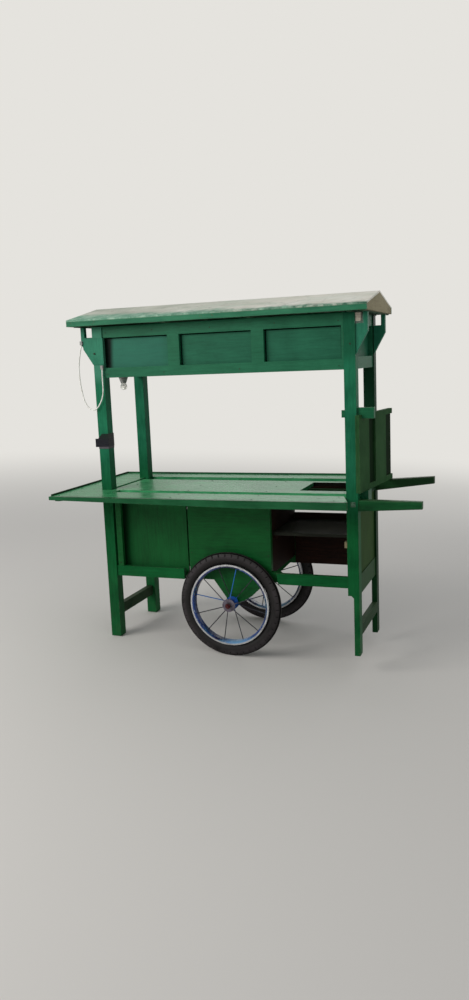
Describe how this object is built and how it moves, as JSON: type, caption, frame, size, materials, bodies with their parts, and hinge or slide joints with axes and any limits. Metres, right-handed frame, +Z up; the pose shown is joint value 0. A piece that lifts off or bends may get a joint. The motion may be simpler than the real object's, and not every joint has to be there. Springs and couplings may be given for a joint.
{
  "type": "two-wheeled street food cart",
  "caption": "Green painted wooden street food cart with a serving deck, lower cabinet, low gabled canopy, push handles and a pair of spoked wheels on one axle.",
  "frame": {"origin": "middle of the footprint of the whole cart on the floor, as it parks", "axes": "+X along the cart towards the push handles, +Y to the back, +Z up; the cart leans about its axle onto its left legs"},
  "size_m": [1.805, 0.8902, 1.8079],
  "materials": {
    "green_paint": "worn oil paint brushed on boards",
    "deck_paint": "worn glossy paint on boards",
    "roof_board": "weathered painted boards",
    "inner_boards": "dark stained boards",
    "raw_wood": "bare sawn wood",
    "tyre_rubber": "worn matt rubber",
    "rim_steel": "plated steel, dull",
    "hub_paint": "worn enamel",
    "axle_steel": "oily steel",
    "bulb_glass": "opal glass",
    "grey_plastic": "moulded",
    "cable_sheath": "smooth sheath",
    "black_tape": "wrapped tape"
  },
  "bodies": {
    "cart": {"axle": "axle_steel", "axle_board_front": "green_paint", "axle_board_rear": "green_paint", "back_panels": "inner_boards", "beam_end": "raw_wood", "bottom_rails": "green_paint", "bulb": "bulb_glass", "cable_clips": "grey_plastic", "cable_loop": "cable_sheath", "deck_arms": "deck_paint", "deck_back_lath": "deck_paint", "deck_bearers": "deck_paint", "deck_boards": "deck_paint", "deck_end_lath": "deck_paint", "deck_end_rail": "deck_paint", "deck_front_ledge": "deck_paint", "deck_left_leaf": "deck_paint", "deck_nosing": "deck_paint", "deck_rear_ledge": "deck_paint", "eave_boards": "green_paint", "end_panels": "green_paint", "fascia_end_frames": "green_paint", "fascia_front_frame": "green_paint", "fascia_panels": "green_paint", "fascia_rear_frame": "green_paint", "floor_board": "inner_boards", "gable_boards": "roof_board", "handle_front": "green_paint", "handle_rear": "green_paint", "lamp_holder": "grey_plastic", "leg_stretchers": "green_paint", "panel_front": "green_paint", "partition": "inner_boards", "post_band": "black_tape", "post_front_left": "green_paint", "post_front_right": "green_paint", "post_rear_left": "green_paint", "post_rear_right": "green_paint", "rafters": "green_paint", "rear_top_board": "inner_boards", "roof_brackets": "green_paint", "roof_sheet_front": "roof_board", "roof_sheet_rear": "roof_board", "screen_bar": "green_paint", "screen_fields": "green_paint", "screen_frame": "green_paint", "screen_stub": "green_paint", "shelf": "inner_boards", "shelf_cleats": "inner_boards", "stile_front_left": "green_paint"},
    "wheel_front": {"tyre_front": "tyre_rubber", "rim_front": "rim_steel", "hub_front": "hub_paint"},
    "wheel_rear": {"tyre_rear": "tyre_rubber", "rim_rear": "rim_steel", "hub_rear": "hub_paint"}
  },
  "joints": [
    {"name": "front_wheel_turn", "type": "hinge", "parent": "cart", "child": "wheel_front", "pos_m": [-0.00439, -0.21625, 0.2665], "axis": [0, 1, 0], "continuous": true},
    {"name": "rear_wheel_turn", "type": "hinge", "parent": "cart", "child": "wheel_rear", "pos_m": [-0.00439, 0.39175, 0.2665], "axis": [0, 1, 0], "continuous": true}
  ]
}
